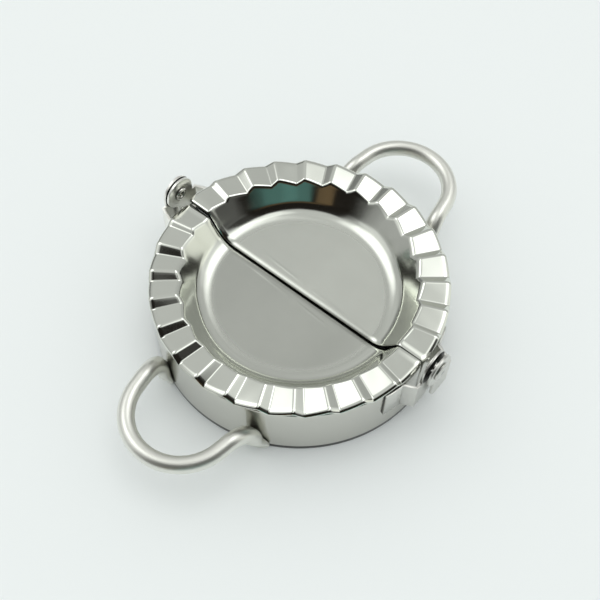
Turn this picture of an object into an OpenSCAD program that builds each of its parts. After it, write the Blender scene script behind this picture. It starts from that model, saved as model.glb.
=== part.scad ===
// Empanada press, open and flat on its two skirts.
// Two equal halves fold about one line of rivets. Each half is a pleated half dish on a
// half-ring skirt, with a bent tube handle and two hinge straps that end in round ears.
// The origin is on the table at the centre of the round base. X runs along the hinge line,
// Y from the near half to the far half, Z up.

/* [Dish] */
// Radius over the outer corners of the pleated rim
rim_r = 47.6; // [44:0.1:52]
// Height of the highest pleat corner above the table
rim_h = 26; // [24:0.5:30]
// Pleats on each half
pleats = 14; // [10:1:18]
// Share of a pleat that is the wide, gently rising facet
wide_share = 0.7; // [0.6:0.05:0.8]
// Width of the first and last steep facet of a half, as a share of the others
end_riser = 0.6; // [0.4:0.1:1]
// Fall from a high corner to a low corner at the rim
pleat_fall = 1.93; // [1.2:0.1:2.6]
// Radius at which the bowl wall would meet the rim height
mouth_r = 38.9; // [36:0.1:41]
// Depth of the bowl floor below the highest pleat corner
bowl_d = 9.75; // [7:0.25:12]
// Slope of the bowl wall from the level
wall_slope = 57; // [45:1:65]
// Radius of the round between wall and floor
bowl_fillet = 7.5; // [3:0.5:8]
// Sheet thickness of the dish
dish_t = 0.6; // [0.5:0.1:0.8]
// Depth of the lip turned down along the straight edge
lip_d = 2.4; // [1.5:0.1:3]

/* [Skirt] */
// Outer radius of the skirt, whose lower edge cuts the dough
skirt_r = 47.2; // [46:0.1:47.4]
// Sheet thickness of the skirt
skirt_t = 0.6; // [0.5:0.1:0.8]
// Width of the flange turned in under the pleats
flange_w = 3; // [2:0.5:4]
// Gap between the straight edges of the two halves
split_gap = 0.8; // [0.4:0.1:1]

/* [Handles] */
// Diameter of the handle tube
tube_d = 5.3; // [4.5:0.1:6]
// Radius of the handle bow along its centre line
bow_r = 16.75; // [14:0.25:18]
// Distance from the hinge line to the centre of the bow
bow_y = 55.4; // [54:0.1:58]
// Angle at which each leg spreads towards the skirt
leg_spread = 9.3; // [6:0.1:12]
// Height of the bow's centre line
handle_h = 17.4; // [15:0.1:19]
// Radius at which each leg bends down to the skirt
foot_bend = 9; // [7:0.5:11]
// Width of the flattened foot on the skirt
foot_w = 8.6; // [7:0.1:9]
// Thickness of the flattened foot
foot_t = 1.5; // [1.2:0.1:2]
// Height of the foot's lower end
foot_low = 0.5; // [0.5:0.1:1.5]

/* [Hinges] */
// Height of the hinge line
axis_h = 26.4; // [26.4:0.1:27.5]
// Thickness of the hinge straps
strap_t = 0.8; // [0.6:0.1:1]
// Height of the lower edge of a strap
strap_low = 11.2; // [10:0.1:13]
// Height of the upper edge of a strap, under the rim
strap_high = 23.2; // [22:0.1:23.2]
// Angle from the hinge line to the welded end of a strap
strap_reach = 19; // [16:0.5:24]
// Angle from the hinge line to the place where a strap leaves the skirt
strap_leave = 10.6; // [9:0.1:12]
// Distance from the centre to the inner face of an inner ear
inner_ear_x = 50.2; // [49.8:0.1:51]
// Distance from the centre to the inner face of an outer ear
outer_ear_x = 52.4; // [52.2:0.1:53]
// Radius of the round end of an ear
ear_r = 5.5; // [4.5:0.1:6]

/* [Rivets] */
// Diameter of the rivet shank
shank_d = 3.1; // [2.6:0.1:3.6]
// Diameter of the rivet head on the outer ear
head_d = 6.2; // [5.4:0.1:7]
// Height of the rivet head
head_t = 1; // [0.8:0.1:1.2]
// Diameter of the rolled tail inside the inner ear
tail_d = 4.4; // [4:0.1:5]
// Height of the rolled tail
tail_t = 0.9; // [0.7:0.1:1]
// Diameter of the hole down the rivet
hollow_d = 2; // [1.6:0.1:2.2]

/* [Hidden] */
steel = "gainsboro";
worn_steel = "silver";

$fn = 96;
// Longer than any part, for cutting solids that only have to reach past it.
past = 60;

pitch = 180 / pleats;
riser_half = pitch * (1 - wide_share) / 2;
corners = 4 * pleats;
mean_h = rim_h - pleat_fall / 2;

floor_h = rim_h - bowl_d;
foot_r = mouth_r - bowl_d / tan(wall_slope);
half_gap = split_gap / 2;
rim_corner = 1.3;
lip_clear = 0.4;
lip_end = skirt_r - flange_w - lip_clear;

// The flange's top lies just inside the lowest pleats' underside, where it is welded.
weld = 0.03;
flange_top = rim_h - pleat_fall - dish_t + weld;
skirt_round = 1;

leg_end = 90 - leg_spread;
leg_x = bow_r * sin(leg_end);
leg_y = bow_y + bow_r * cos(leg_end);
foot_mid_r = skirt_r + foot_t / 2;
foot_drop = handle_h - foot_bend - foot_low;
foot_round = 2.6;
// Shares of flattening and widening that are reached where the bend ends, and the shares of
// the drop below it after which both are complete.
bend_flat = 0.2;
bend_flare = 0.4;
flat_by = 0.8;
flare_by = 0.9;
// Length of leg from the bow until its centre line reaches the middle of the foot's sheet.
leg_b = leg_y * cos(leg_spread) - leg_x * sin(leg_spread);
leg_hit = leg_b - sqrt(leg_b ^ 2 - leg_x ^ 2 - leg_y ^ 2 + foot_mid_r ^ 2);
foot_a = atan2(leg_y - leg_hit * cos(leg_spread), leg_x + leg_hit * sin(leg_spread));
foot_turn = foot_a - 90 - leg_spread;
tube_sides = 28;
bow_steps = 22;
bend_steps = 10;
drop_steps = 6;
round_steps = 4;

fit = 0.05;
strap_out = skirt_r + strap_t;
inner_turn_y = 7.3;
outer_turn_y = 6.6;
turn_lap = 0.3;
turn_ease = 0.2;
leave_ease = [-0.1, 0.6];
neck_end = 2;
ear_low_r = 4;

// A flat-sided solid whose two faces are the pleated surface, moved down and up.
// All facets meet on the centre line, so each of them is flat. Step k rises from the low
// corner on one side of the angle -k * pitch to the high corner on the other.
module pleated_slab(down, up) {
    function half_step(k) = let (place = k % pleats)
        riser_half * (place == 1 || place == pleats - 1 ? end_riser : 1);
    function angle_of(i) = let (k = floor(i / 2))
        i % 2 == 0 ? -pitch * k - half_step(k) : -pitch * (k + 1) + half_step(k + 1);
    function height_of(i) = (i % 2 == 0 ? 1 : -1) * pleat_fall / 2 * past / rim_r;
    function corner(i, shift) = [past * cos(angle_of(i)), past * sin(angle_of(i)),
        mean_h + height_of(i) + shift];
    n = corners;
    points = concat([for (i = [0:n - 1]) corner(i, -down)], [for (i = [0:n - 1]) corner(i, up)],
        [[0, 0, mean_h - down], [0, 0, mean_h + up]]);
    faces = concat([for (i = [0:n - 1]) [2 * n, (i + 1) % n, i]],
        [for (i = [0:n - 1]) [2 * n + 1, n + i, n + (i + 1) % n]],
        [for (i = [0:n - 1]) [i, (i + 1) % n, n + (i + 1) % n, n + i]]);
    polyhedron(points, faces);
}

// Half outline of the bowl, grown outwards by t, up to the given height.
module bowl_outline(t, top) {
    wall_shift = t / sin(wall_slope);
    wall_top_r = mouth_r + wall_shift + (top - rim_h) / tan(wall_slope);
    low_h = floor_h - t;
    low_r = mouth_r + wall_shift - (rim_h - low_h) / tan(wall_slope);
    r = bowl_fillet + t;
    reach = r * tan(wall_slope / 2);
    difference() {
        polygon([[0, low_h], [low_r, low_h], [wall_top_r, top], [0, top]]);
        difference() {
            polygon([[low_r - reach, low_h - 1], [low_r + 1, low_h - 1],
                [low_r + reach * cos(wall_slope), low_h + reach * sin(wall_slope)],
                [low_r - reach, low_h + r]]);
            translate([low_r - reach, low_h + r]) circle(r = r);
        }
    }
}

// What lies beyond half the gap, up to the given depth behind it.
module far_side(depth = past) {
    translate([-past, half_gap, -past]) cube([2 * past, depth, 2 * past]);
}

// The pressed dish, full round, with a sheet of thickness t below its upper face.
module dish_sheet(t) {
    difference() {
        union() {
            difference() {
                rotate_extrude() bowl_outline(t, rim_h + 1);
                pleated_slab(dish_t / 2, past);
            }
            intersection() {
                pleated_slab(t, 0);
                difference() {
                    cylinder(r = rim_r, h = past);
                    translate([0, 0, -1]) cylinder(r = foot_r, h = past + 2);
                }
            }
        }
        rotate_extrude() bowl_outline(0, rim_h + 5);
    }
}

// Rounds the two outer corners of a half at the split.
module corner_cut() {
    cy = half_gap + rim_corner;
    cx = sqrt((rim_r - rim_corner) ^ 2 - cy ^ 2);
    for (side = [0, 1]) mirror([side, 0, 0]) difference() {
        translate([cx, -1, floor_h]) cube([2 * rim_corner, cy + 1, past]);
        translate([cx, cy, floor_h - 1]) cylinder(r = rim_corner, h = past + 2);
    }
}

module dish() {
    color(steel) difference() {
        union() {
            intersection() {
                dish_sheet(dish_t);
                far_side();
            }
            intersection() {
                dish_sheet(lip_d);
                far_side(dish_t);
                translate([-lip_end, -past, 0]) cube([2 * lip_end, 2 * past, past]);
            }
        }
        corner_cut();
    }
}

module skirt() {
    color(steel) intersection() {
        rotate_extrude() difference() {
            translate([skirt_r - flange_w, 0]) square([flange_w, flange_top]);
            translate([skirt_r - flange_w - 1, -1])
                square([flange_w - skirt_t + 1, flange_top - skirt_t + 1]);
            translate([skirt_r - skirt_round, flange_top - skirt_round]) difference() {
                square(skirt_round + 1);
                circle(r = skirt_round);
            }
        }
        far_side();
    }
}

// One tube bent round the bow. Each leg bends down and is flattened and widened below the
// bend, where it lies on the skirt. The foot's two lower corners are round.
module handle() {
    function blend(u) = let (v = min(1, u)) v * v * (3 - 2 * v);
    function power(v, e) = sign(v) * pow(abs(v), e);
    // A closed section of width w and thickness t: round at b = 0, a slab with round edges
    // at b = 1. Its heading is turn, and tilt is how far the tube has bent down.
    function section(middle, turn, tilt, b, w, t) = let (outward = [cos(turn), sin(turn), 0],
            sideways = [sin(turn), -cos(turn), 0],
            across = [0, 0, cos(tilt)] - outward * sin(tilt),
            e = 1 - b / 2)
        [for (k = [0:tube_sides - 1]) let (a = 360 * k / tube_sides, s = w / 2 * power(cos(a), e))
            middle + sideways * s + across * (t / 2 * power(sin(a), e))
            - outward * (b * s * s / (2 * skirt_r))];
    function bow(a) = section([bow_r * sin(a), bow_y + bow_r * cos(a), handle_h], 180 - a, 0, 0,
        tube_d, tube_d);
    // The tube after the share u of the bend and the share v of the drop below it.
    function foot(u, v) = let (a = 90 * u,
            b = bend_flat * blend(u) + (1 - bend_flat) * blend(v / flat_by),
            flare = bend_flare * blend(u) + (1 - bend_flare) * blend(v / flare_by),
            into_round = max(0, foot_round - foot_drop * (1 - v)),
            cut = foot_round - sqrt(foot_round ^ 2 - into_round ^ 2),
            w = tube_d + (foot_w - tube_d) * flare - 2 * cut,
            t = tube_d + (foot_t - tube_d) * b,
            stand_off = (tube_d - foot_t) * (1 - max(b, bend_flat)) / 2 / cos(foot_turn),
            along = leg_hit - stand_off - foot_bend * (1 - sin(a)))
        section([leg_x + along * sin(leg_spread), leg_y - along * cos(leg_spread),
            handle_h - foot_bend * (1 - cos(a)) - foot_drop * v],
            90 + leg_spread + foot_turn * blend(u), a, b, w, t);
    round_share = foot_round / foot_drop;
    drops = concat([for (i = [1:drop_steps]) (1 - round_share) * i / drop_steps],
        [for (i = [1:round_steps]) 1 - round_share * (1 - sin(90 * i / round_steps))]);
    half = concat([for (i = [0:bow_steps]) bow(leg_end * i / bow_steps)],
        [for (i = [0:bend_steps]) foot(i / bend_steps, 0)], [for (v = drops) foot(1, v)]);
    last = len(half) - 1;
    sections = concat([for (i = [last:-1:1]) [for (p = half[i]) [-p[0], p[1], p[2]]]], half);
    m = len(sections);
    n = tube_sides;
    points = [for (s = sections) each s];
    faces = concat([[for (k = [0:n - 1]) k]],
        [for (i = [0:m - 2]) for (k = [0:n - 1])
            [i * n + k, (i + 1) * n + k, (i + 1) * n + (k + 1) % n, i * n + (k + 1) % n]],
        [[for (k = [n - 1:-1:0]) (m - 1) * n + k]]);
    color(worn_steel) polyhedron(points, faces);
}

// Plan of a strap for the far half at the right-hand hinge, as a flat outline.
// It follows the skirt, steps out to the ear and runs towards the hinge line.
module strap_plan(ear_x, turn_y) {
    leave = [strap_out * cos(strap_leave), strap_out * sin(strap_leave)];
    difference() {
        intersection() {
            circle(r = strap_out);
            polygon([[0, 0], [2 * strap_out * cos(strap_leave), 2 * strap_out * sin(strap_leave)],
                [2 * strap_out * cos(strap_reach), 2 * strap_out * sin(strap_reach)]]);
        }
        circle(r = skirt_r);
    }
    polygon([[skirt_r * cos(strap_leave), skirt_r * sin(strap_leave)],
        leave, leave + leave_ease,
        [ear_x + strap_t, turn_y + turn_ease], [ear_x + strap_t, turn_y - turn_lap],
        [ear_x, turn_y - turn_lap]]);
}

// Outline of the ear and its neck, looking along the hinge line.
module ear_outline(turn_y) {
    difference() {
        union() {
            translate([0, axis_h]) circle(r = ear_r);
            translate([-neck_end, strap_low + ear_low_r])
                square([ear_r + neck_end, axis_h - strap_low - ear_low_r]);
            translate([-neck_end + ear_low_r, strap_low])
                square([turn_y + neck_end - ear_low_r, strap_high - strap_low]);
            translate([-neck_end + ear_low_r, strap_low + ear_low_r]) circle(r = ear_low_r);
        }
        translate([0, axis_h]) circle(d = shank_d + 2 * fit);
    }
}

module strap(ear_x, turn_y) {
    color(steel) {
        translate([0, 0, strap_low]) linear_extrude(strap_high - strap_low)
            strap_plan(ear_x, turn_y);
        translate([ear_x, 0, 0]) rotate([90, 0, 90]) linear_extrude(strap_t) ear_outline(turn_y);
    }
}

// A hollow rivet along the hinge line at the right: tail inside, head outside.
module rivet() {
    tail_x = inner_ear_x - fit;
    head_x = outer_ear_x + strap_t + fit;
    color(worn_steel) translate([0, 0, axis_h]) rotate([0, 90, 0]) difference() {
        union() {
            translate([0, 0, tail_x - tail_t]) cylinder(d = shank_d, h = head_x + head_t - tail_x);
            translate([0, 0, tail_x - tail_t / 2]) rotate_extrude()
                translate([tail_d / 2 - tail_t / 2, 0]) circle(d = tail_t);
            translate([0, 0, tail_x - tail_t])
                cylinder(d = tail_d - tail_t, h = tail_t);
            intersection() {
                translate([0, 0, head_x]) cylinder(d = head_d, h = head_t);
                translate([0, 0, head_x + head_t - dome_r(head_d, head_t)])
                    sphere(r = dome_r(head_d, head_t));
            }
        }
        translate([0, 0, tail_x - tail_t - 1]) cylinder(d = hollow_d, h = tail_t + 3);
    }
}

// Radius of the ball whose cap covers a head of diameter d and height h, edge half as high.
function dome_r(d, h) = (d * d / 4 + h * h / 4) / h;

module near_half() {
    rotate([0, 0, 180]) children();
}

module dish_a() { near_half() dish(); }
module dish_b() { dish(); }
module skirt_a() { near_half() skirt(); }
module skirt_b() { skirt(); }
module handle_a() { near_half() handle(); }
module handle_b() { handle(); }
module inner_strap_a() { near_half() inner_strap_b(); }
module inner_strap_b() { mirror([1, 0, 0]) strap(inner_ear_x, inner_turn_y); }
module outer_strap_a() { near_half() outer_strap_b(); }
module outer_strap_b() { strap(outer_ear_x, outer_turn_y); }
module rivet_left() { near_half() rivet(); }
module rivet_right() { rivet(); }

dish_a();
dish_b();
skirt_a();
skirt_b();
handle_a();
handle_b();
inner_strap_a();
inner_strap_b();
outer_strap_a();
outer_strap_b();
rivet_left();
rivet_right();
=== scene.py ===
"""An empanada press of bright sheet steel, open and flat on a white table.

Sizes of the press are in millimetres and angles in degrees, but for the handles' spread;
the lamps' and the camera's distances are in metres."""

import bmesh
import bpy
import numpy as np
from mathutils import Matrix, Vector


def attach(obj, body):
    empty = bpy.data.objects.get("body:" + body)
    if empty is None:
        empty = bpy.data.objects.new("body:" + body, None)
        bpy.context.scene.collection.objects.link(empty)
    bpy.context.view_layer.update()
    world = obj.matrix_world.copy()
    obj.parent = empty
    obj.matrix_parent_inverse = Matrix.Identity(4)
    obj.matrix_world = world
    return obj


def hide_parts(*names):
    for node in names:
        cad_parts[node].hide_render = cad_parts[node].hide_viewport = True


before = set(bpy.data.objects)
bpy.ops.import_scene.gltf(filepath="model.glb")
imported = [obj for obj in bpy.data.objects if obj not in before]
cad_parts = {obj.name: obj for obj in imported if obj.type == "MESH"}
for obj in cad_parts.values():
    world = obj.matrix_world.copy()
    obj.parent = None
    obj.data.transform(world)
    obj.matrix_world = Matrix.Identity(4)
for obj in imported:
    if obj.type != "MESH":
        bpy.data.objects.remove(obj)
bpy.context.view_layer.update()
scene = bpy.context.scene

# The two pressed dishes.
# Each half is one pressing of thin stainless sheet: a flat bowl floor, a sloped wall and a
# ring of sawtooth pleats. Its straight edge and its rim are turned down so that no raw edge
# shows. Pleats and wall keep the die's polish, the bowl floor is rubbed duller. Painted
# shade darkens the faces in the split, and the floor more on the near half and to the right.
MM = 0.001
HALVES = [("near_half", "a", True), ("far_half", "b", False)]
SHEET = 0.5
RIM_R, RIM_H, RIM_CORNER, RIM_TURN, RIM_DROP = 47.6, 26.0, 1.3, 1.9, 1.0
PLEATS, WIDE_SHARE, PLEAT_FALL, END_STEP = 14, 0.7, 1.93, 0.6
HIGH_CREASE, LOW_CREASE, CREASE_FROM, CREASE_SAMPLES = 1.25, 0.6, 20, 11
MOUTH_R, MOUTH_ROUND, BOWL_DEPTH, BOWL_FILLET, FILLET_ONSET = 38.9, 1.0, 9.75, 7.5, 2.4
STEEP_WALL, EASY_WALL, STEEP_FROM, EASY_TO = 57, 51.5, 95, 50
WAVE_H, WAVE_FROM, WAVE_FADE = 0.016, 29, 6
DRAW_LINE_H, DRAW_LINE_W, DRAW_LINE_Y, DRAW_LINE_SLANT = 0.09, 0.4, 2.2, 0.06
DRAW_LINE_R, DRAW_LINE_X = 27, -18
HALF_GAP, RING_GAP, RING_START, RING_FULL = 0.4, 0.26, 36, 39
LIP_ROLL, LIP_DROP, LIP_DEPTH, LIP_END, LIP_STUB = 2.2, 1.0, 2.4, 43.6, 0.05
SPLIT_Y = HALF_GAP + LIP_ROLL
PITCH = np.pi / PLEATS


def step_size(k):
    """Width and height of step k as a share of the others: those beside the split are smaller."""
    return np.where((k == 1) | (k == PLEATS - 1), END_STEP, 1.0)


def half_step(k):
    """Half the width of step k as a share of the pitch."""
    return (1 - WIDE_SHARE) / 2 * step_size(k)


def pleat_wave(angle):
    """Height share of the pleats, 1 at a high corner and 1 - 2 s at a low one of a step of
    size s: clockwise from the middle of step k it rises, then falls over the wide facet."""
    turn = np.clip((np.pi - angle) / PITCH, 0, PLEATS - 1e-6)
    k = np.floor(turn)
    past, left = turn - k, k + 1 - turn
    size, next_size, rise, next_rise = step_size(k), step_size(k + 1), half_step(k), half_step(k + 1)
    falling = 1 - 2 * next_size * (past - rise) / (1 - rise - next_rise)
    return np.where(past < rise, 1 - size + size * past / rise,
                    np.where(left < next_rise, 1 - next_size - next_size * left / next_rise, falling))


def pleat_height(r, angle):
    """Pleated sheet: the wave, averaged over a short arc so that its creases are rounded,
    grows in proportion to the radius about the mean height. A high crease lies on the
    outside of the bend and is rounder than a low one."""
    upper = pleat_wave(angle) > 1 - step_size(np.round((np.pi - angle) / PITCH))
    arc = np.where(upper, HIGH_CREASE, LOW_CREASE) / np.maximum(r, CREASE_FROM)
    offsets = np.linspace(-0.5, 0.5, CREASE_SAMPLES)
    wave = np.mean([pleat_wave(angle + arc * offset) for offset in offsets], axis=0)
    return RIM_H - PLEAT_FALL / 2 + wave * PLEAT_FALL / 2 * r / RIM_R


def bowl_height(r, angle):
    """Bowl section over r: level floor, a circular fillet that sets in softly, then a straight
    wall. The wall is steep from the angle STEEP_FROM on and less steep below EASY_TO."""
    ease = blend(np.maximum(0, (STEEP_FROM - np.degrees(angle)) / (STEEP_FROM - EASY_TO)))
    slope = np.radians(STEEP_WALL + (EASY_WALL - STEEP_WALL) * ease)
    foot_r = MOUTH_R - BOWL_DEPTH / np.tan(slope)
    start = foot_r - BOWL_FILLET * np.tan(slope / 2)
    fillet_w = BOWL_FILLET * np.sin(slope)
    onset = np.clip((r - start) / FILLET_ONSET + 0.5, 0, 1)
    inside = np.where(onset < 1, FILLET_ONSET / 2 * onset ** 2, np.minimum(r - start, fillet_w))
    fillet = RIM_H - BOWL_DEPTH + BOWL_FILLET - np.sqrt(BOWL_FILLET ** 2 - inside ** 2)
    return fillet + np.maximum(r - start - fillet_w, 0) * np.tan(slope)


def blend(share):
    """Smooth step 3 s² - 2 s³ from 0 to 1, level at both ends and beyond 1."""
    share = np.minimum(1, share)
    return share * share * (3 - 2 * share)


def lower_of(a, b, round_over):
    """The lower of two heights, blended by a parabola where they come within round_over."""
    share = np.clip(0.5 + 0.5 * (b - a) / round_over, 0, 1)
    return b + (a - b) * share - round_over * share * (1 - share)


def hand_work(r, angle):
    """What the press leaves uneven: three sine waves over the ring and the wall, and a faint
    bell-shaped draw line on the floor that runs out from the split at a slant."""
    x, y = r * np.cos(angle), r * np.sin(angle)
    waves = (np.sin(9.3 * angle + 0.21 * r + 1.0) + 0.7 * np.sin(21.7 * angle - 0.35 * r)
             + 0.5 * np.sin(38.1 * angle + 0.5 * r + 2.0))
    on_wall = np.clip((r - WAVE_FROM) / WAVE_FADE, 0, 1)
    off_line = y - DRAW_LINE_Y - DRAW_LINE_SLANT * np.clip(20 - x, 0, 60)
    line_ends = np.clip((DRAW_LINE_R - r) / 3, 0, 1) * np.clip((x - DRAW_LINE_X) / 6, 0, 1)
    return WAVE_H * waves * on_wall + DRAW_LINE_H * np.exp(-(off_line / DRAW_LINE_W) ** 2) * line_ends


def dish_height(r, angle):
    """The lower of pleats and bowl, turned down along a quarter ellipse over the last of the rim."""
    top = lower_of(pleat_height(r, angle), bowl_height(r, angle), MOUTH_ROUND) + hand_work(r, angle)
    over = np.clip((r - RIM_R) / RIM_TURN + 1, 0, 0.995)
    return top - RIM_DROP * (1 - np.sqrt(1 - over ** 2))


def dish_columns():
    """Angles of the grid's columns: nine to each pleat, and a crowd at every crease. None but
    the first and the last lies within end_clear of the straight edge."""
    end_clear = 0.004
    near_crease = np.radians([-0.9, -0.7, -0.5, -0.34, -0.17, 0, 0.17, 0.34, 0.5, 0.7, 0.9])
    steps = np.arange(PLEATS + 1)
    creases = np.concatenate([np.pi - PITCH * (steps + side * half_step(steps)) for side in (-1, 1)])
    columns = np.concatenate([np.add.outer(creases, near_crease).ravel(),
                              np.linspace(0, np.pi, 9 * PLEATS + 1)])
    columns = np.unique(np.round(columns[(columns > end_clear) & (columns < np.pi - end_clear)], 5))
    return np.concatenate([[0], columns, [np.pi]])


def dish_rows():
    """Radii of the grid's rows, dense over the fillet, the mouth and the rim."""
    fillet, wall, mouth, ring, rim = 24, 35.4, 37, 40.3, RIM_R - RIM_TURN
    corner_turn = np.sin(np.radians(np.linspace(0, 90, 13)))
    return np.unique(np.concatenate([
        SPLIT_Y + (fillet - SPLIT_Y) * np.linspace(0, 1, 12) ** 1.4,
        np.linspace(fillet, wall, 36),
        np.linspace(wall, mouth, 4),
        np.linspace(mouth, ring, 28),
        np.linspace(ring, rim, 7),
        np.linspace(rim, RIM_R - RIM_CORNER, 6),
        RIM_R - RIM_CORNER * (1 - corner_turn)]))


def dish_grid():
    """Grid over radius and angle. Near the straight edge the angles are shifted so that the
    first and last column lie on the line y = SPLIT_Y, but for the round at the rim's corner.
    The lip hangs from both as a quarter of a superellipse, tighter on the ring than on the
    bowl, and a short drop."""
    r, angle = dish_rows()[:, None], dish_columns()[None, :]
    into_corner = np.maximum(0, r - RIM_R + RIM_CORNER)
    cut = RIM_CORNER - np.sqrt(RIM_CORNER ** 2 - into_corner ** 2)
    edge = np.arcsin(np.clip((SPLIT_Y + cut) / r, 0, 1))
    reach = np.clip(3 * edge, 0, np.pi / 2)
    angle = (angle + edge * np.clip(1 - angle / reach, 0, 1)
             - edge * np.clip(1 - (np.pi - angle) / reach, 0, 1))
    sheet = np.stack([r * np.cos(angle), r * np.sin(angle), dish_height(r, angle)], 2)

    bend = np.radians(np.linspace(0, 90, 17))[1:]
    on_ring = np.clip((r - RING_START) / (RING_FULL - RING_START), 0, 1)
    power = 1 / (1 + on_ring)
    gap = HALF_GAP + (RING_GAP - HALF_GAP) * on_ring
    drop_y = np.concatenate([SPLIT_Y - (SPLIT_Y - gap) * np.sin(bend) ** power, gap, gap], 1)
    below = np.where(r < LIP_END, LIP_DEPTH - LIP_DROP, LIP_STUB)
    round_z = LIP_DROP * (1 - np.maximum(np.cos(bend), 0) ** power)
    drop_z = np.concatenate([round_z, LIP_DROP + below / 2, LIP_DROP + below], 1)

    def lip(column):
        strip = np.repeat(column[:, None, :], drop_y.shape[1], axis=1)
        strip[:, :, 1] = drop_y + cut
        strip[:, :, 2] -= drop_z
        return strip
    return np.concatenate([lip(sheet[:, 0])[:, ::-1], sheet, lip(sheet[:, -1])], axis=1)


def grid_faces(rows, columns):
    """Quads of a grid of vertices numbered row by row."""
    corner = (np.arange(rows - 1)[:, None] * columns + np.arange(columns - 1)[None, :]).ravel()
    return np.stack([corner, corner + 1, corner + columns + 1, corner + columns], 1).tolist()


def half_turn(points):
    """The near half is the far half turned by 180 degrees about the upright axis."""
    return points * np.array([-1.0, -1.0, 1.0])


def mesh_object(name, points, faces, weld=None):
    """A smooth-shaded object from points in millimetres; doubles closer than weld merge."""
    mesh = bpy.data.meshes.new(name)
    mesh.from_pydata((points * MM).tolist(), [], faces)
    if weld is not None:
        form = bmesh.new()
        form.from_mesh(mesh)
        bmesh.ops.remove_doubles(form, verts=form.verts, dist=weld * MM)
        bmesh.ops.recalc_face_normals(form, faces=form.faces)
        form.to_mesh(mesh)
        form.free()
    mesh.polygons.foreach_set("use_smooth", np.ones(len(mesh.polygons), bool))
    thing = bpy.data.objects.new(name, mesh)
    scene.collection.objects.link(thing)
    return thing


def grid_piece(name, grid, turned):
    """A welded piece from a grid of points of the far half, or its half turn."""
    points = grid.reshape(-1, 3)
    faces = grid_faces(*grid.shape[:2])
    return mesh_object(name, half_turn(points) if turned else points, faces, weld=1e-4)


def make_dish(name, turned):
    """The grid with a wall of the sheet's thickness below it."""
    dish = grid_piece(name, dish_grid(), turned)
    wall = dish.modifiers.new("sheet", "SOLIDIFY")
    wall.thickness = SHEET * MM
    wall.offset = -1
    return dish


class Value:
    """A number that varies over a surface. + - * / on it, from either side, and abs() add
    Math nodes."""

    def __init__(self, socket):
        self.socket = socket

    def math(self, operation, *values):
        node = self.socket.id_data.nodes.new("ShaderNodeMath")
        node.operation = operation
        for target, value in zip(node.inputs, values):
            plug(target, value)
        return Value(node.outputs[0])

    def __add__(self, other):
        return self.math("ADD", self, other)

    def __sub__(self, other):
        return self.math("SUBTRACT", self, other)

    def __rsub__(self, other):
        return self.math("SUBTRACT", other, self)

    def __mul__(self, other):
        return self.math("MULTIPLY", self, other)

    def __truediv__(self, other):
        return self.math("DIVIDE", self, other)

    def __abs__(self):
        return self.math("ABSOLUTE", self)

    __radd__, __rmul__ = __add__, __mul__


def distance(a, b):
    """Square root of a² + b²."""
    return a.math("SQRT", a * a + b * b)


def plug(target, value):
    """Links a Value to a node's input, or sets the input to a plain number or colour."""
    if isinstance(value, Value):
        target.id_data.links.new(value.socket, target)
    else:
        target.default_value = value


class Finish:
    """One finish of one tone. add() puts any node in its tree and returns one of its outputs."""

    def __init__(self, name, tone, metal=1.0):
        self.material = bpy.data.materials.new(name)
        self.material.use_nodes = True
        self.tree = self.material.node_tree
        self.shader = self.tree.nodes["Principled BSDF"]
        self.tone = (*tone, 1)
        self.put("Base Color", self.tone)
        self.put("Metallic", metal)
        self.place = self.add("ShaderNodeTexCoord", {}, {}, "Object")

    def add(self, kind, settings, values, output=0):
        node = self.tree.nodes.new(kind)
        for key, value in settings.items():
            setattr(node, key, value)
        for key, value in values.items():
            plug(node.inputs[key], value)
        return Value(node.outputs[output])

    def put(self, name, value):
        """Gives the shader's input of that name a value."""
        plug(self.shader.inputs[name], value)

    def axes(self):
        """The place on the piece as x, y and z in metres."""
        return [self.add("ShaderNodeSeparateXYZ", {}, {"Vector": self.place}, axis) for axis in "XYZ"]

    def noise(self, scale, detail=2.0, stretch=(1, 1, 1)):
        """Even noise from 0 to 1, with its grain stretched along an axis if need be."""
        at = self.add("ShaderNodeMapping", {}, {"Vector": self.place, "Scale": stretch})
        return self.add("ShaderNodeTexNoise", {}, {"Vector": at, "Scale": scale, "Detail": detail}, "Fac")

    def ramp(self, value, low, high):
        """0 where value is below low, 1 above high, smooth between."""
        return self.add("ShaderNodeMapRange", {"interpolation_type": "SMOOTHSTEP"},
                        {"Value": value, "From Min": low, "From Max": high}, "Result")

    def darken(self, shade):
        """Base colour: the tone times a varying shade. The Mix node has sockets for each kind of
        data, so those for colours go by number."""
        colours = {"data_type": "RGBA", "blend_type": "MULTIPLY"}
        factor, first, second, result = 0, 6, 7, 2
        self.put("Base Color", self.add("ShaderNodeMix", colours,
                                        {factor: 1.0, first: self.tone, second: shade}, result))

    def relief(self, height, depth):
        """A fine relief of that depth, in metres for a height of 1."""
        levels = {"Height": height, "Distance": depth, "Strength": 1.0}
        self.put("Normal", self.add("ShaderNodeBump", {}, levels, "Normal"))


GRAIN_DEPTH = 0.000004
RUBBED_FULL, RUBBED_END = 26.5, 31.5


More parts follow.
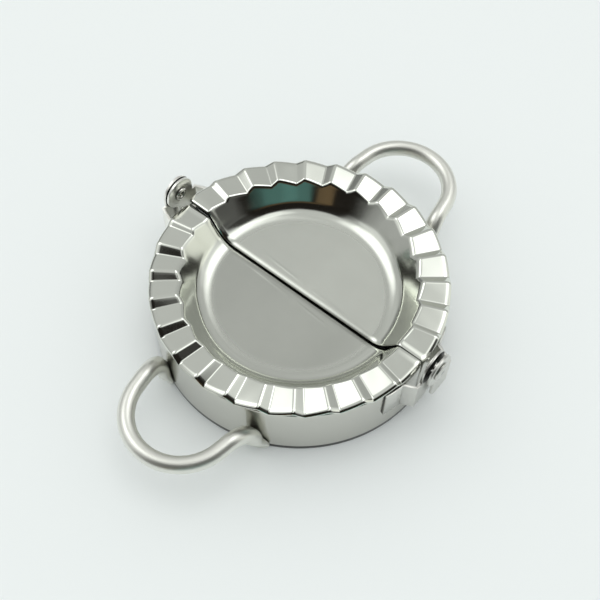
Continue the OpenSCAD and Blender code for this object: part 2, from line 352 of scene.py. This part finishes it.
def dish_finish():
    """Polished pressing with crossed scratches. The bowl floor is rubbed: rougher and darker,
    with faint clouds, and painted shade darkens it more on the near half and towards the right.
    The faces in the split are made dark with painted shade."""
    finish = Finish("dish_steel", (0.76, 0.776, 0.715))
    x, y, _ = finish.axes()
    on_floor = 1 - finish.ramp(distance(x, y), RUBBED_FULL * MM, RUBBED_END * MM)
    # Painted shade: the faces in the split between the halves are made dark.
    gap_shade_mask = 1 - finish.ramp(abs(y), (HALF_GAP + 0.01) * MM, (HALF_GAP + 0.12) * MM)
    near = 1 - finish.ramp(y, -0.5 * MM, 0.5 * MM)
    shade_to_right = finish.ramp(x, 0.0, 30 * MM)
    # The rubbed floor is duller in tone, with clouds; painted shade darkens it more on the near half and
    # towards the right.
    wear_and_painted_shade = 0.085 + 0.165 * near + shade_to_right * (0.15 - 0.05 * near) + 0.18 * finish.noise(45, 3)
    finish.darken((1 - on_floor * wear_and_painted_shade) * (1 - 0.9 * gap_shade_mask))
    smears = 0.09 + 0.05 * finish.noise(70, 3)
    finish.put("Roughness", smears + on_floor * (0.15 + 0.08 * finish.noise(45, 4)))
    scratches = finish.noise(900, 2, (1, 0.06, 1)) + finish.noise(700, 2, (0.08, 1, 1))
    finish.relief(scratches * (0.25 + 0.75 * on_floor), GRAIN_DEPTH)
    return finish.material


dish_steel = dish_finish()
for body, letter, turned in HALVES:
    dish = make_dish(f"dish_{body}", turned)
    dish.data.materials.append(dish_steel)
    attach(dish, body)
    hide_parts(f"dish_{letter}")

# The two skirts.
# A half ring of bright rolled sheet stands under each dish. Its top is turned in as a
# narrow flange under the pleats, and its plain lower edge cuts the dough.
SKIRT_R, SKIRT_SHEET, FLANGE_W, FLANGE_H, SKIRT_ROUND, BASE_SHADOW_H = 47.2, 0.6, 3.0, 23.5, 1.0, 1.7


def skirt_section():
    """Closed section (r, z): up the outside, over a round shoulder, along the flange and
    back, with small rounds at both raw edges."""
    turn = np.radians(np.linspace(0, 90, 8))
    edge = np.radians(np.linspace(0, 180, 7))
    half = SKIRT_SHEET / 2
    shoulder = np.stack([SKIRT_R - SKIRT_ROUND + SKIRT_ROUND * np.cos(turn),
                         FLANGE_H - SKIRT_ROUND + SKIRT_ROUND * np.sin(turn)], 1)
    flange = np.stack([SKIRT_R - FLANGE_W + half - half * np.sin(edge),
                       FLANGE_H - half + half * np.cos(edge)], 1)
    inner = SKIRT_ROUND - SKIRT_SHEET
    corner = np.stack([SKIRT_R - SKIRT_ROUND + inner * np.cos(turn),
                       FLANGE_H - SKIRT_ROUND + inner * np.sin(turn)], 1)[::-1]
    foot = np.stack([SKIRT_R - half - half * np.cos(edge), half - half * np.sin(edge)], 1)
    outer = np.stack([np.full(6, SKIRT_R), np.linspace(2, FLANGE_H - SKIRT_ROUND - 2, 6)], 1)
    inside = np.stack([np.full(6, SKIRT_R - SKIRT_SHEET), outer[::-1, 1]], 1)
    return np.concatenate([outer, shoulder, flange, corner, inside, foot])


def closed_tube(name, rings, turned):
    """A piece from closed rings of points, one ring after the other, with a cap at each end."""
    count, n = rings.shape[:2]
    row = np.arange(n)
    following = np.roll(row, -1)
    first = (np.arange(count - 1) * n)[:, None]
    sides = np.stack([first + row, first + following, first + n + following, first + n + row], 2)
    faces = sides.reshape(-1, 4).tolist() + [row[::-1].tolist(), ((count - 1) * n + row).tolist()]
    points = rings.reshape(-1, 3)
    return mesh_object(name, half_turn(points) if turned else points, faces, weld=1e-4)


def make_skirt(name, turned):
    """The section carried round from one end plane y = HALF_GAP to the other, with caps."""
    section = skirt_section()
    r, z = section[:, 0][None, :], section[:, 1][None, :]
    start = np.arcsin(HALF_GAP / r)
    share = np.linspace(0, 1, 181)[:, None]
    angle = start + (np.pi - 2 * start) * share
    rings = np.stack([r * np.cos(angle), r * np.sin(angle), z + 0 * angle], 2)
    return closed_tube(name, rings, turned)


def rolled_steel(name, tone, rough, grain, metal=1.0):
    """Rolled sheet: fine lines along the rolling direction, slight waves, faint smears."""
    finish = Finish(name, tone, metal)
    finish.put("Roughness", rough + 0.08 * finish.noise(60, 3))
    finish.relief(finish.noise(800, 2, grain) + 6 * finish.noise(90, 1), GRAIN_DEPTH)
    return finish


def skirt_finish():
    """Bright sheet, with a painted contact shadow along its lower edge."""
    finish = rolled_steel("skirt_steel", (0.62, 0.615, 0.57), 0.17, (1, 1, 0.05))
    height = finish.axes()[2]
    # Painted contact shadow: the base colour goes dark over the lowest millimetres of the skirt.
    finish.darken(0.05 + 0.95 * finish.ramp(height, BASE_SHADOW_H * MM, 1.25 * BASE_SHADOW_H * MM))
    return finish.material


skirt_steel = skirt_finish()
for body, letter, turned in HALVES:
    skirt = make_skirt(f"skirt_{body}", turned)
    skirt.data.materials.append(skirt_steel)
    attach(skirt, body)
    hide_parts(f"skirt_{letter}")

# The two handles.
# Each handle is one length of satin tube bent to a bow. Both ends are pinched flat, bent
# down and spot-welded on the skirt.
TUBE_D, BOW_R, BOW_Y, HANDLE_H = 5.3, 16.75, 55.4, 17.4
LEG_SPREAD = np.radians(9.3)
FOOT_W, FOOT_T, FOOT_LOW, FOOT_BEND, FOOT_ROUND = 8.6, 1.5, 0.5, 9.0, 2.6
BENT_FLAT, BENT_WIDE, FLAT_BY, WIDE_BY = 0.2, 0.4, 0.8, 0.9


def handle_rings():
    """Closed sections from the middle of the bow to the end of one foot. u is the share of
    the bend down and v that of the drop below it. Each section is a superellipse that turns
    from round to flat, mostly below the bend, and widens into a foot with two round corners."""
    leg_x, leg_y = BOW_R * np.cos(LEG_SPREAD), BOW_Y + BOW_R * np.sin(LEG_SPREAD)
    back = leg_y * np.cos(LEG_SPREAD) - leg_x * np.sin(LEG_SPREAD)
    reach = back - np.sqrt(back ** 2 - leg_x ** 2 - leg_y ** 2 + (SKIRT_R + FOOT_T / 2) ** 2)
    facing_skirt = np.arctan2(leg_y - reach * np.cos(LEG_SPREAD), leg_x + reach * np.sin(LEG_SPREAD))
    foot_turn = facing_skirt - np.pi / 2 - LEG_SPREAD
    foot_drop = HANDLE_H - FOOT_BEND - FOOT_LOW

    bow = np.linspace(0, np.pi / 2 - LEG_SPREAD, 48)
    bend = np.linspace(0, 1, 26)
    straight = 1 - FOOT_ROUND / foot_drop
    drops = np.concatenate([np.linspace(0, straight, 12)[1:],
                            1 - (1 - straight) * (1 - np.sin(np.radians(np.linspace(0, 90, 9))[1:]))])
    u = np.concatenate([0 * bow, bend, 0 * drops + 1])
    v = np.concatenate([0 * bow, 0 * bend, drops])
    on_bow = np.arange(len(u)) < len(bow)
    lap = np.concatenate([bow, np.zeros(len(u) - len(bow))])

    tilt = np.pi / 2 * u
    flat = BENT_FLAT * blend(u) + (1 - BENT_FLAT) * blend(v / FLAT_BY)
    flare = BENT_WIDE * blend(u) + (1 - BENT_WIDE) * blend(v / WIDE_BY)
    into_round = np.clip(FOOT_ROUND - foot_drop * (1 - v), 0, FOOT_ROUND)
    corner_cut = FOOT_ROUND - np.sqrt(FOOT_ROUND ** 2 - into_round ** 2)
    width = TUBE_D + (FOOT_W - TUBE_D) * flare - 2 * corner_cut
    thickness = TUBE_D + (FOOT_T - TUBE_D) * flat
    stand_off = (TUBE_D - FOOT_T) * (1 - np.maximum(flat, BENT_FLAT)) / 2 / np.cos(foot_turn)
    along = reach - stand_off - FOOT_BEND * (1 - np.sin(tilt))
    x = np.where(on_bow, BOW_R * np.sin(lap), leg_x + along * np.sin(LEG_SPREAD))
    y = np.where(on_bow, BOW_Y + BOW_R * np.cos(lap), leg_y - along * np.cos(LEG_SPREAD))
    z = HANDLE_H - FOOT_BEND * (1 - np.cos(tilt)) - foot_drop * v
    heading = np.where(on_bow, np.pi - lap, np.pi / 2 + LEG_SPREAD + foot_turn * blend(u))

    outward = np.stack([np.cos(heading), np.sin(heading), 0 * heading], 1)
    sideways = np.stack([np.sin(heading), -np.cos(heading), 0 * heading], 1)
    across = np.array([0, 0, 1]) * np.cos(tilt)[:, None] - outward * np.sin(tilt)[:, None]
    ring = np.linspace(0, 2 * np.pi, 57)[:-1]
    power = (1 - flat / 2)[:, None]
    s = width[:, None] / 2 * np.sign(np.cos(ring)) * np.abs(np.cos(ring)) ** power
    h = thickness[:, None] / 2 * np.sign(np.sin(ring)) * np.abs(np.sin(ring)) ** power
    curl = flat[:, None] * s ** 2 / (2 * SKIRT_R)
    middle = np.stack([x, y, z], 1)
    return (middle[:, None] + sideways[:, None] * s[:, :, None] + across[:, None] * h[:, :, None]
            - outward[:, None] * curl[:, :, None])


def make_handle(name, turned):
    """The rings of one side and their mirror image, as one closed tube."""
    one_side = handle_rings()
    mirrored = one_side[:0:-1] * np.array([-1, 1, 1])
    return closed_tube(name, np.concatenate([mirrored, one_side]), turned)


handle_steel = rolled_steel("handle_steel", (0.81, 0.81, 0.755), 0.33, (1, 1, 1), metal=0.93).material
for body, letter, turned in HALVES:
    handle = make_handle(f"handle_{body}", turned)
    handle.data.materials.append(handle_steel)
    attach(handle, body)
    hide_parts(f"handle_{letter}")

# The four hinge straps.
# Blanks of thicker sheet, each welded along the skirt, stepped outwards and ending in a
# round ear. At each hinge an inner ear lies beside an outer one, closer on the left.
AXIS_H, STRAP_T, INNER_EAR_X, OUTER_EAR_X = 26.4, 0.8, 50.2, 52.4
EAR_START, EAR_MIDDLE, EAR_IN, EAR_OUT, STRAP_EDGE, FACE_SLACK = 49.9, 51.5, 0.45, 0.35, 0.1, 0.1


def rows_of(items, key):
    """One property of all faces or vertices as rows of x, y and z."""
    rows = np.empty(3 * len(items))
    items.foreach_get(key, rows)
    return rows.reshape(-1, 3)


def face_finishes(mesh):
    """Index of each face's finish: 1 for the upright end face on the skirt, which points
    along it and carries a painted seam shadow, 2 for the ears' faces in the narrow gap,
    which are made dark with painted shade, and 0 for all others."""
    centre, normal = rows_of(mesh.polygons, "center") / MM, rows_of(mesh.polygons, "normal")
    aside = np.abs(centre[:, 0])
    outward = centre[:, :2] / np.linalg.norm(centre[:, :2], axis=1)[:, None]
    along_skirt = np.abs(np.sum(normal[:, :2] * outward, axis=1)) < 0.5
    end_face = (aside < EAR_START) & (np.abs(normal[:, 2]) < 0.5) & along_skirt
    gap_shade_mask = ((aside > INNER_EAR_X + STRAP_T - FACE_SLACK) & (aside < OUTER_EAR_X + FACE_SLACK)
              & (np.abs(normal[:, 0]) > 0.9))
    return np.where(end_face, 1, np.where(gap_shade_mask, 2, 0)).astype(np.int32)


def make_strap(name, node):
    """The blank's solid with its triangles joined, and a left ear pressed towards the other
    one. A Bevel breaks the corners."""
    form = bmesh.new()
    form.from_mesh(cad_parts[node].data)
    bmesh.ops.remove_doubles(form, verts=form.verts, dist=1e-6)
    bmesh.ops.dissolve_limit(form, angle_limit=np.radians(1.0), verts=form.verts, edges=form.edges)
    mesh = bpy.data.meshes.new(name)
    form.to_mesh(mesh)
    form.free()
    mesh.polygons.foreach_set("use_smooth", np.ones(len(mesh.polygons), bool))
    mesh.polygons.foreach_set("material_index", face_finishes(mesh))
    place = rows_of(mesh.vertices, "co")
    press = np.where(place[:, 0] > -EAR_MIDDLE * MM, -EAR_IN, EAR_OUT) * MM
    place[:, 0] += np.where(place[:, 0] < -EAR_START * MM, press, 0)
    mesh.vertices.foreach_set("co", place.ravel())
    strap = bpy.data.objects.new(name, mesh)
    scene.collection.objects.link(strap)
    edge = strap.modifiers.new("edge", "BEVEL")
    edge.width, edge.segments, edge.limit_method = STRAP_EDGE * MM, 2, "ANGLE"
    edge.angle_limit, edge.harden_normals = np.radians(35), True
    return strap


def shaded_hinge_finish(name, tone, rough, low, near, far):
    """Bright sheet with painted shade around the rivet: darker, down to the share low, from
    far to near. Painted shade also darkens the right-hand hinge."""
    finish = rolled_steel(name, tone, rough, (1, 1, 0.1))
    x, y, z = finish.axes()
    # Painted shade around the rivet, and more painted shade at the right-hand hinge.
    out_of_axis_shade = finish.ramp(distance(y, z - AXIS_H * MM), near * MM, far * MM)
    finish.darken((low + (1 - low) * out_of_axis_shade) * (1 - 0.28 * finish.ramp(x, 0.0, 10 * MM)))
    return finish.material


def sheared_finish():
    """Cut end of the strap, with a painted shadow in the seam with the skirt, brighter outside it."""
    finish = Finish("sheared_steel_seam_shadow", (1.0, 1.0, 0.95))
    x, y, _ = finish.axes()
    out_of_seam_shadow = finish.ramp(distance(x, y), (SKIRT_R + 0.35) * MM, (SKIRT_R + 0.55) * MM)
    # Painted shadow in the seam between the strap's end and the skirt.
    finish.darken(0.06 + 0.54 * out_of_seam_shadow)
    finish.put("Roughness", 0.45)
    return finish.material


# Three finishes: strap steel with a painted contact shadow round the rivet, the cut end with a painted seam
# shadow, and the ears' faces in the gap made almost black with painted shade.
strap_steels = [shaded_hinge_finish("strap_steel", (0.93, 0.925, 0.875), 0.28, 0.35, 2.2, 2.9),
                sheared_finish(),
                shaded_hinge_finish("gap_shade_steel", (0.78, 0.775, 0.73), 0.34, 0.04, 5.4, 6.4)]
for node in ["inner_strap_a", "inner_strap_b", "outer_strap_a", "outer_strap_b"]:
    strap = make_strap(node.replace("_a", "_near").replace("_b", "_far"), node)
    for steel in strap_steels:
        strap.data.materials.append(steel)
    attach(strap, "near_half" if node.endswith("_a") else "far_half")
    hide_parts(node)

# The two rivets.
# A hollow rivet joins the two ears of each hinge: a low domed head outside, and a tail
# rolled over into a ring inside.
EASE, SHANK_D, HEAD_D, HEAD_T, HEAD_RIM = 0.05, 3.1, 6.2, 1.0, 0.32
TAIL_D, TAIL_T, HOLLOW_D, HOLLOW_DEPTH, RIVET_EDGE = 4.4, 0.9, 2.0, 1.6, 0.12


def make_rivet(name, turned):
    """The section (x along the axis, r) turned about the hinge line: hollow, rolled ring,
    shank, head and dome."""
    tail_x, head_x = INNER_EAR_X - EASE, OUTER_EAR_X + STRAP_T + EASE
    if turned:
        tail_x, head_x = tail_x + EAR_IN, head_x - EAR_OUT
    roll = np.radians(np.linspace(0, 180, 17))
    hollow = np.array([[tail_x + HOLLOW_DEPTH, 0],
                       [tail_x + HOLLOW_DEPTH, HOLLOW_D / 2 - 0.1],
                       [tail_x + HOLLOW_DEPTH - 0.1, HOLLOW_D / 2]])
    mid_r, half_t = (TAIL_D + HOLLOW_D) / 4, (TAIL_D - HOLLOW_D) / 4
    ring = np.stack([tail_x - TAIL_T * (0.45 + 0.55 * np.sin(roll)), mid_r - half_t * np.cos(roll)], 1)
    shank = np.array([[tail_x, TAIL_D / 2 - 0.15], [tail_x, SHANK_D / 2], [head_x, SHANK_D / 2]])
    rim = np.array([[head_x, HEAD_D / 2 - RIVET_EDGE],
                    [head_x + RIVET_EDGE, HEAD_D / 2],
                    [head_x + HEAD_RIM, HEAD_D / 2]])
    cap = np.radians(np.linspace(90, 0, 14))[1:]
    dome = np.stack([head_x + HEAD_RIM + (HEAD_T - HEAD_RIM) * np.cos(cap), HEAD_D / 2 * np.sin(cap)], 1)
    section = np.concatenate([hollow, ring, shank, rim, dome])
    lap = np.linspace(0, 2 * np.pi, 65)[:, None]
    x, r = section[:, 0][None, :], section[:, 1][None, :]
    return grid_piece(name, np.stack([x + 0 * lap, r * np.cos(lap), AXIS_H + r * np.sin(lap)], 2), turned)


# Painted shade darkens the rivet near its axis: in the hollow and on the middle of the dome.
rivet_steel = shaded_hinge_finish("rivet_steel", (0.80, 0.795, 0.75), 0.13, 0.25, 0.7, 1.1)
for name, turned in [("rivet_right", False), ("rivet_left", True)]:
    rivet = make_rivet(f"{name}_formed", turned)
    rivet.data.materials.append(rivet_steel)
    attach(rivet, "near_half")
    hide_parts(name)

# The table.
# A matt white board under the press, cool in tone. It is wide enough to reach the horizon
# and lies a hair below the skirts' cut edges.
TABLE_HALF, TABLE_LOW = 6000, -0.02

corners = np.array([(-1, -1), (1, -1), (1, 1), (-1, 1)]) * TABLE_HALF
table = mesh_object("table", np.column_stack([corners, np.full(4, TABLE_LOW)]), [(0, 1, 2, 3)])
table_paint = Finish("table_paint", (0.855, 0.882, 0.876), metal=0.0)
table_paint.put("Roughness", 0.6)
table_paint.put("Specular IOR Level", 0.2)
table.data.materials.append(table_paint.material)

# The tent and the lamps.
# A pale tent, grey overhead and dark towards the near right, hangs round the table and shows
# only in the metal. Its bright windows give the steel its white facets and soft streaks.
# Two soft lamps and a pale room light the table.
TENT_R = 4000
WINDOWS = [(-108, 56, 26, 13, 0.85), (-108, 56, 14, 6, 1.2), (18, 59, 27, 10, 0.85), (18, 59, 14, 6, 1.2),
           (38, 33, 24, 6, 0.3), (80, 72, 15, 8, 0.5), (-66, 36, 30, 12, 0.06), (-72, -2, 27, 12, -0.26)]
LOW_WINDOW, SIDE_WINDOW = (48, 8, 23, 8, 0.45), (-135, 32, 23, 8, 0.3)
DARK_MIDDLE, LAMP_AWAY, LAMP_W = 133, 1.2, 0.8


def tent_grid():
    """A ball of radius TENT_R as a grid over height angle and azimuth."""
    up = np.linspace(-np.pi / 2, np.pi / 2, 33)[:, None]
    lap = np.linspace(0, 2 * np.pi, 65)[None, :]
    return TENT_R * np.stack([np.cos(up) * np.cos(lap), np.cos(up) * np.sin(lap), np.sin(up) + 0 * lap], 2)


def toward(azimuth, height):
    """Direction at that azimuth from +Y towards +X and that height, in degrees."""
    a, h = np.radians(azimuth), np.radians(height)
    return Vector((np.sin(a) * np.cos(h), np.cos(a) * np.cos(h), np.sin(h)))


def tent_glow():
    """Light sent out by the tent: a pale grey plus its round windows, each (azimuth, height,
    outer radius, inner radius, level) in degrees, and a dark field about DARK_MIDDLE with a
    teal and a brown patch low in it."""
    glow = Finish("tent_glow", (0, 0, 0), metal=0.0)
    x, y, z = (axis / (TENT_R * MM) for axis in glow.axes())

    def facing(direction):
        return x * direction.x + y * direction.y + z * direction.z

    def window(azimuth, height, outer, inner, level):
        return level * glow.ramp(facing(toward(azimuth, height)),
                                 np.cos(np.radians(outer)), np.cos(np.radians(inner)))

    def band(value, rise, full, fall, end):
        return glow.ramp(value, rise, full) * (1 - glow.ramp(value, fall, end))

    pale = 0.45 + 0.08 * glow.ramp(z, 0.6, 0.95) + 0.08 * glow.ramp(z, 0.1, 0.5)
    low_window = window(*LOW_WINDOW)
    for light in WINDOWS:
        pale = pale + window(*light)
    clouds = 0.84 + 0.32 * glow.noise(2.0, 2)
    pale = (pale + low_window) * clouds + window(*SIDE_WINDOW)

    middle, beside = toward(DARK_MIDDLE, 0), toward(DARK_MIDDLE + 90, 0)
    turn = z.math("ARCTAN2", facing(beside), facing(middle)) * (180 / np.pi)
    low = 1 - glow.ramp(z, 0.45, 0.60)
    dark = (0.94 - 0.12 * low) * glow.ramp(turn, -72, -62) + (0.06 + 0.12 * low) * glow.ramp(turn, -48, -38)
    dark = dark * (1 - glow.ramp(turn, 50, 72 + 14 * low)) * (1 - glow.ramp(z, 0.86, 0.93))
    near_table = (1 - glow.ramp(z, 0.33, 0.42)) * (0.5 + 0.9 * glow.noise(1.6, 1))
    teal = band(turn, -38, -14, 15, 19) * near_table
    brown = band(turn, 20, 23, 33, 37) * near_table
    brown = brown + 0.6 * band(turn, -36, -20, 26, 34) * band(z, 0.36, 0.43, 0.46, 0.54)

    lit = 1 - dark
    levels = {"Red": 0.98 * pale * lit + dark * (0.014 + 0.07 * teal + 0.12 * brown),
              "Green": pale * lit + dark * (0.012 + 0.175 * teal + 0.08 * brown),
              "Blue": ((0.985 * pale - 0.133 * low_window) * lit
                       + dark * (0.010 + 0.16 * teal + 0.04 * brown))}
    glow.put("Emission Color", glow.add("ShaderNodeCombineColor", {}, levels))
    glow.put("Emission Strength", 1.0)
    glow.put("Specular IOR Level", 0.0)
    return glow.material


ball = tent_grid()
tent = mesh_object("tent", ball.reshape(-1, 3), grid_faces(*ball.shape[:2]))
tent.data.materials.append(tent_glow())
tent.visible_camera = False
tent.visible_diffuse = False
tent.visible_shadow = False


def soft_lamp(name, direction, power):
    """A square lamp in that direction, facing the press, that doesn't show in the metal."""
    lamp = bpy.data.lights.new(name, "AREA")
    lamp.shape, lamp.size, lamp.energy = "SQUARE", LAMP_W, power
    thing = bpy.data.objects.new(name, lamp)
    thing.matrix_world = (Matrix.Translation(direction * LAMP_AWAY)
                          @ direction.to_track_quat("Z", "Y").to_matrix().to_4x4())
    thing.visible_camera = False
    thing.visible_glossy = False
    scene.collection.objects.link(thing)


soft_lamp("lamp_above", toward(22, 86), 2.2)
soft_lamp("lamp_left", toward(-103, 55), 0.5)

scene.world = bpy.data.worlds.new("pale_room")
scene.world.use_nodes = True
plug(scene.world.node_tree.nodes["Background"].inputs["Color"], (0.82, 0.845, 0.837, 1))
scene.view_settings.view_transform = "Standard"

# The camera.
# It looks down from the near right at 58 degrees and is held with a slight roll. The lens
# is given by its focal length in pixels of the square picture.
AZIMUTH, HEIGHT, ROLL = np.radians((37.14, 58.33, 2.01))
DISTANCE, AIM = 0.33467, Vector((-0.0041, 0.00585, 0))
PICTURE_W, FOCAL_PIXELS, SENSOR = 600, 985.04, 36

back = Vector((np.sin(AZIMUTH) * np.cos(HEIGHT), -np.cos(AZIMUTH) * np.cos(HEIGHT), np.sin(HEIGHT)))
level_right = Vector((np.cos(AZIMUTH), np.sin(AZIMUTH), 0))
level_up = back.cross(level_right)
right = level_right * np.cos(ROLL) + level_up * np.sin(ROLL)
up = level_up * np.cos(ROLL) - level_right * np.sin(ROLL)
camera = bpy.data.objects.new("camera", bpy.data.cameras.new("camera"))
camera.data.lens, camera.data.sensor_width = FOCAL_PIXELS / PICTURE_W * SENSOR, SENSOR
camera.data.clip_start = 0.01
turned_to_press = Matrix((right, up, back)).transposed().to_4x4()
camera.matrix_world = Matrix.Translation(AIM + back * DISTANCE) @ turned_to_press
scene.collection.objects.link(camera)
scene.camera = camera
